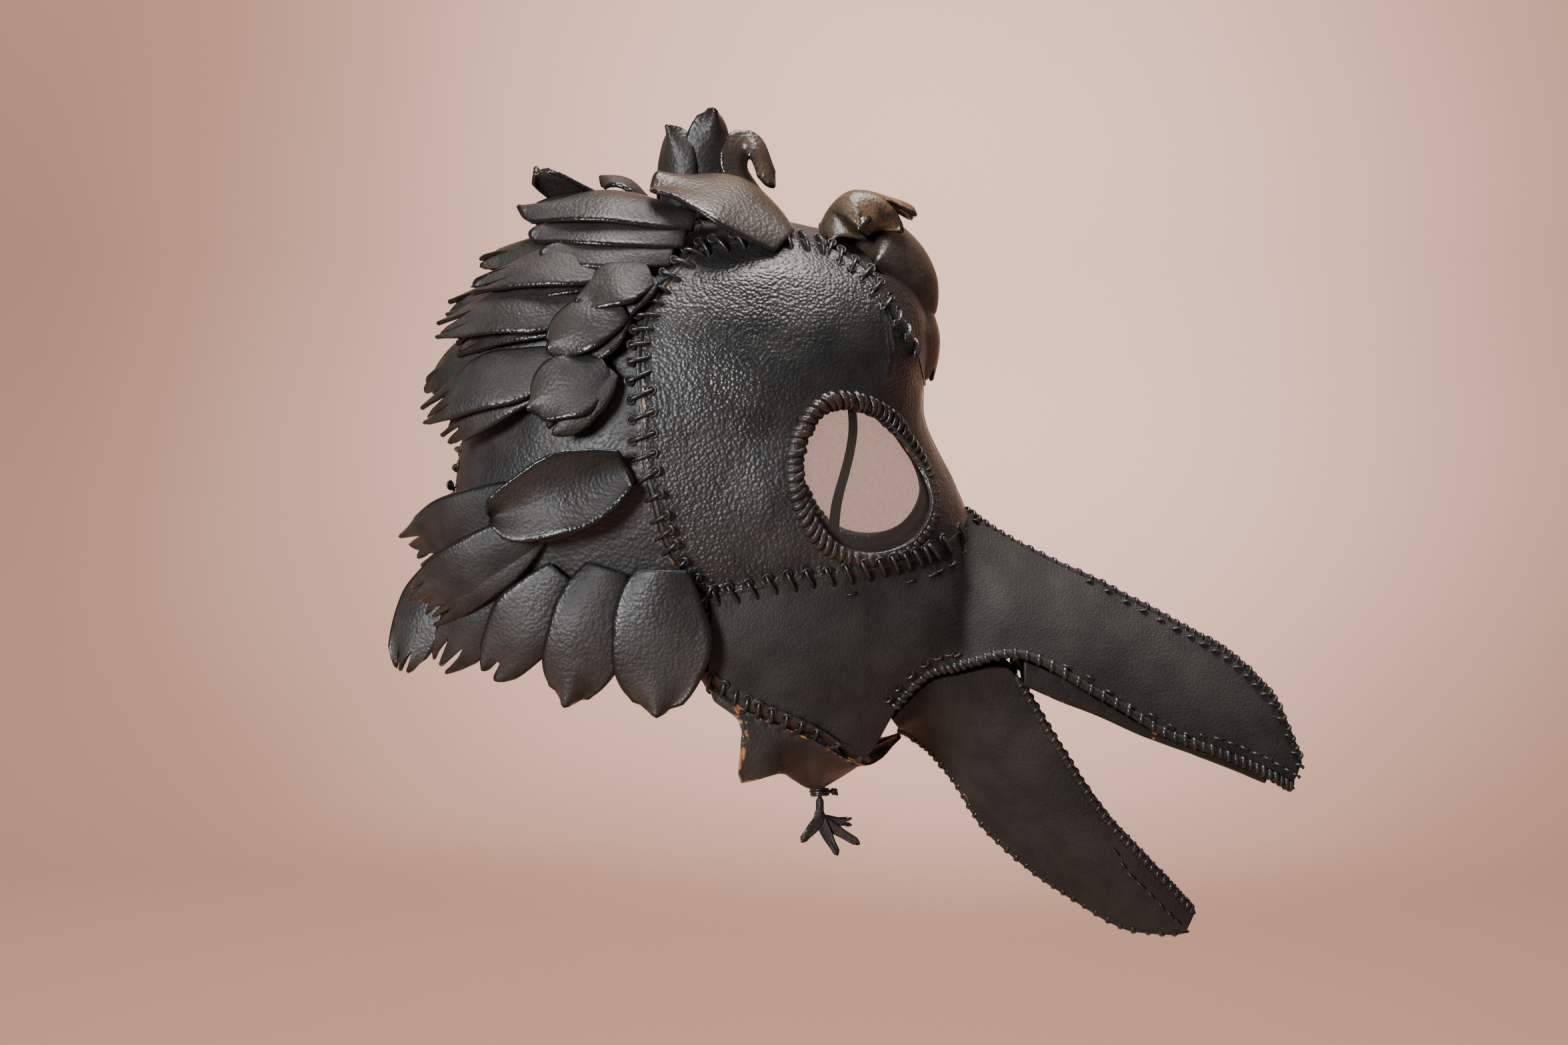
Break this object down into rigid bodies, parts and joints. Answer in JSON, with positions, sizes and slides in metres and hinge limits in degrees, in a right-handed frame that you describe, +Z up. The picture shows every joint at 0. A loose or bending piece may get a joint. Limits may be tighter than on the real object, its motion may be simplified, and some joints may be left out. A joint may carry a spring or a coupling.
{
  "type": "plague doctor mask",
  "caption": "Laced leather hood mask with an open crow beak, whipped eye openings and overlapping leather petals.",
  "frame": {"origin": "middle of the wearer's head inside the hood, on the mask's middle plane", "axes": "+X forwards along the beak, +Y to the wearer's left, +Z up"},
  "size_m": [0.4537, 0.195, 0.4126],
  "materials": {
    "hood_leather": "black pebble-grain leather with a low waxed sheen",
    "beak_leather": "black grained leather, more matt than the hood",
    "petal_leather": "charcoal leather, matt face with glossy burnished edges",
    "rubbed_petal_leather": "dark leather rubbed with bronze wax",
    "rim_leather": "leather thong whipped over the edge, coppery on its high spots",
    "lacing_thong": "waxed black leather thong",
    "strap_leather": "thin black leather strap",
    "tassel_leather": "soft black leather cut in strips",
    "eye_net": "fine dark woven net"
  },
  "bodies": {
    "hood": {"side_panel_right": "hood_leather", "side_panel_left": "hood_leather", "forehead_panel": "hood_leather", "crown_panel": "hood_leather", "back_panel_right": "hood_leather", "back_panel_left": "hood_leather", "cheek_beak_panel_right": "beak_leather", "cheek_beak_panel_left": "beak_leather", "palate_panel": "beak_leather", "lower_beak_panel_right": "beak_leather", "lower_beak_panel_left": "beak_leather", "tongue_panel": "beak_leather", "throat_panel_right": "beak_leather", "throat_panel_left": "beak_leather", "eye_rim_right": "rim_leather", "eye_rim_left": "rim_leather", "eye_screen_right": "eye_net", "eye_screen_left": "eye_net", "inner_strap": "strap_leather", "crown_lacing_right": "lacing_thong", "crown_lacing_left": "lacing_thong", "temple_lacing_right": "lacing_thong", "temple_lacing_left": "lacing_thong", "cheek_lacing_right": "lacing_thong", "cheek_lacing_left": "lacing_thong", "brow_lacing_right": "lacing_thong", "brow_lacing_left": "lacing_thong", "throat_lacing_right": "lacing_thong", "throat_lacing_left": "lacing_thong", "back_lacing": "lacing_thong", "ridge_lacing": "lacing_thong", "palate_lacing_right": "lacing_thong", "palate_lacing_left": "lacing_thong", "lower_beak_lacing_right": "lacing_thong", "lower_beak_lacing_left": "lacing_thong", "keel_lacing": "lacing_thong", "throat_binding": "lacing_thong", "throat_knot": "tassel_leather", "brow_petals": "rubbed_petal_leather", "brow_curl_right": "rubbed_petal_leather", "brow_curl_left": "rubbed_petal_leather", "crown_tuft": "petal_leather", "crown_curl": "rubbed_petal_leather", "crown_feather_right": "petal_leather", "crown_feather_left": "petal_leather", "nape_crest": "petal_leather", "petal_row_1_right": "petal_leather", "petal_row_1_left": "petal_leather", "petal_row_2_right": "petal_leather", "petal_row_2_left": "petal_leather", "petal_row_3_right": "petal_leather", "petal_row_3_left": "petal_leather", "petal_row_4_right": "petal_leather", "petal_row_4_left": "petal_leather", "petal_row_5_right": "petal_leather", "petal_row_5_left": "petal_leather", "petal_row_6_right": "petal_leather", "petal_row_6_left": "petal_leather"},
    "tassel": {"throat_tassel": "tassel_leather"}
  },
  "joints": [
    {"name": "tassel_swing", "type": "hinge", "parent": "hood", "child": "tassel", "pos_m": [0.063, 0, -0.1835], "axis": [1, 0, 0], "range_deg": [-20, 20]}
  ]
}
